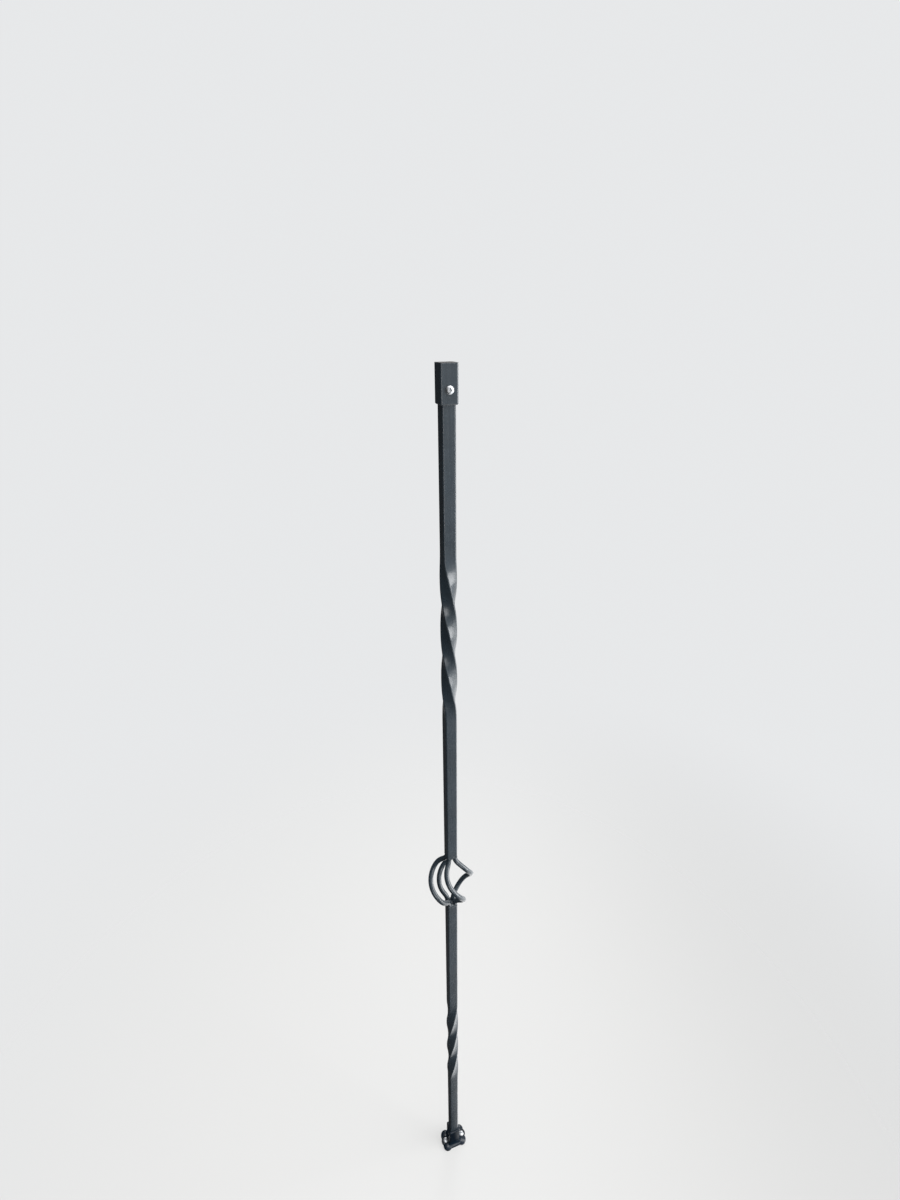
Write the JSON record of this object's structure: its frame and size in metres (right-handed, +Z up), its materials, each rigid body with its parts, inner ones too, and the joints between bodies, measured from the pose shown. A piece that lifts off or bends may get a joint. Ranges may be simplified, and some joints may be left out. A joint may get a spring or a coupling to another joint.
{
  "type": "iron stair baluster",
  "caption": "Upright square iron baluster for a stair or landing rail, twisted above and below an open basket, with a screwed top sleeve and a cast floor shoe.",
  "frame": {"origin": "centre of the foot, on the floor surface that the shoe stands on", "axes": "+Z up along the bar to the handrail, -Y the side that the top sleeve's screw faces, +X to the right seen from that side, along the rail"},
  "size_m": [0.0454, 0.0454, 0.9736],
  "materials": {
    "iron_paint": "satin slate grey-blue paint over forged iron",
    "shoe_paint": "gloss blue-black paint over cast iron",
    "zinc": "bright zinc plate"
  },
  "bodies": {
    "root": {"upper_bar": "iron_paint", "lower_bar": "iron_paint", "top_sleeve": "iron_paint", "basket_rod_1": "iron_paint", "basket_rod_2": "iron_paint", "basket_rod_3": "iron_paint", "basket_rod_4": "iron_paint", "base_shoe": "shoe_paint", "sleeve_screw": "zinc", "shoe_screws": "zinc"}
  },
  "joints": []
}
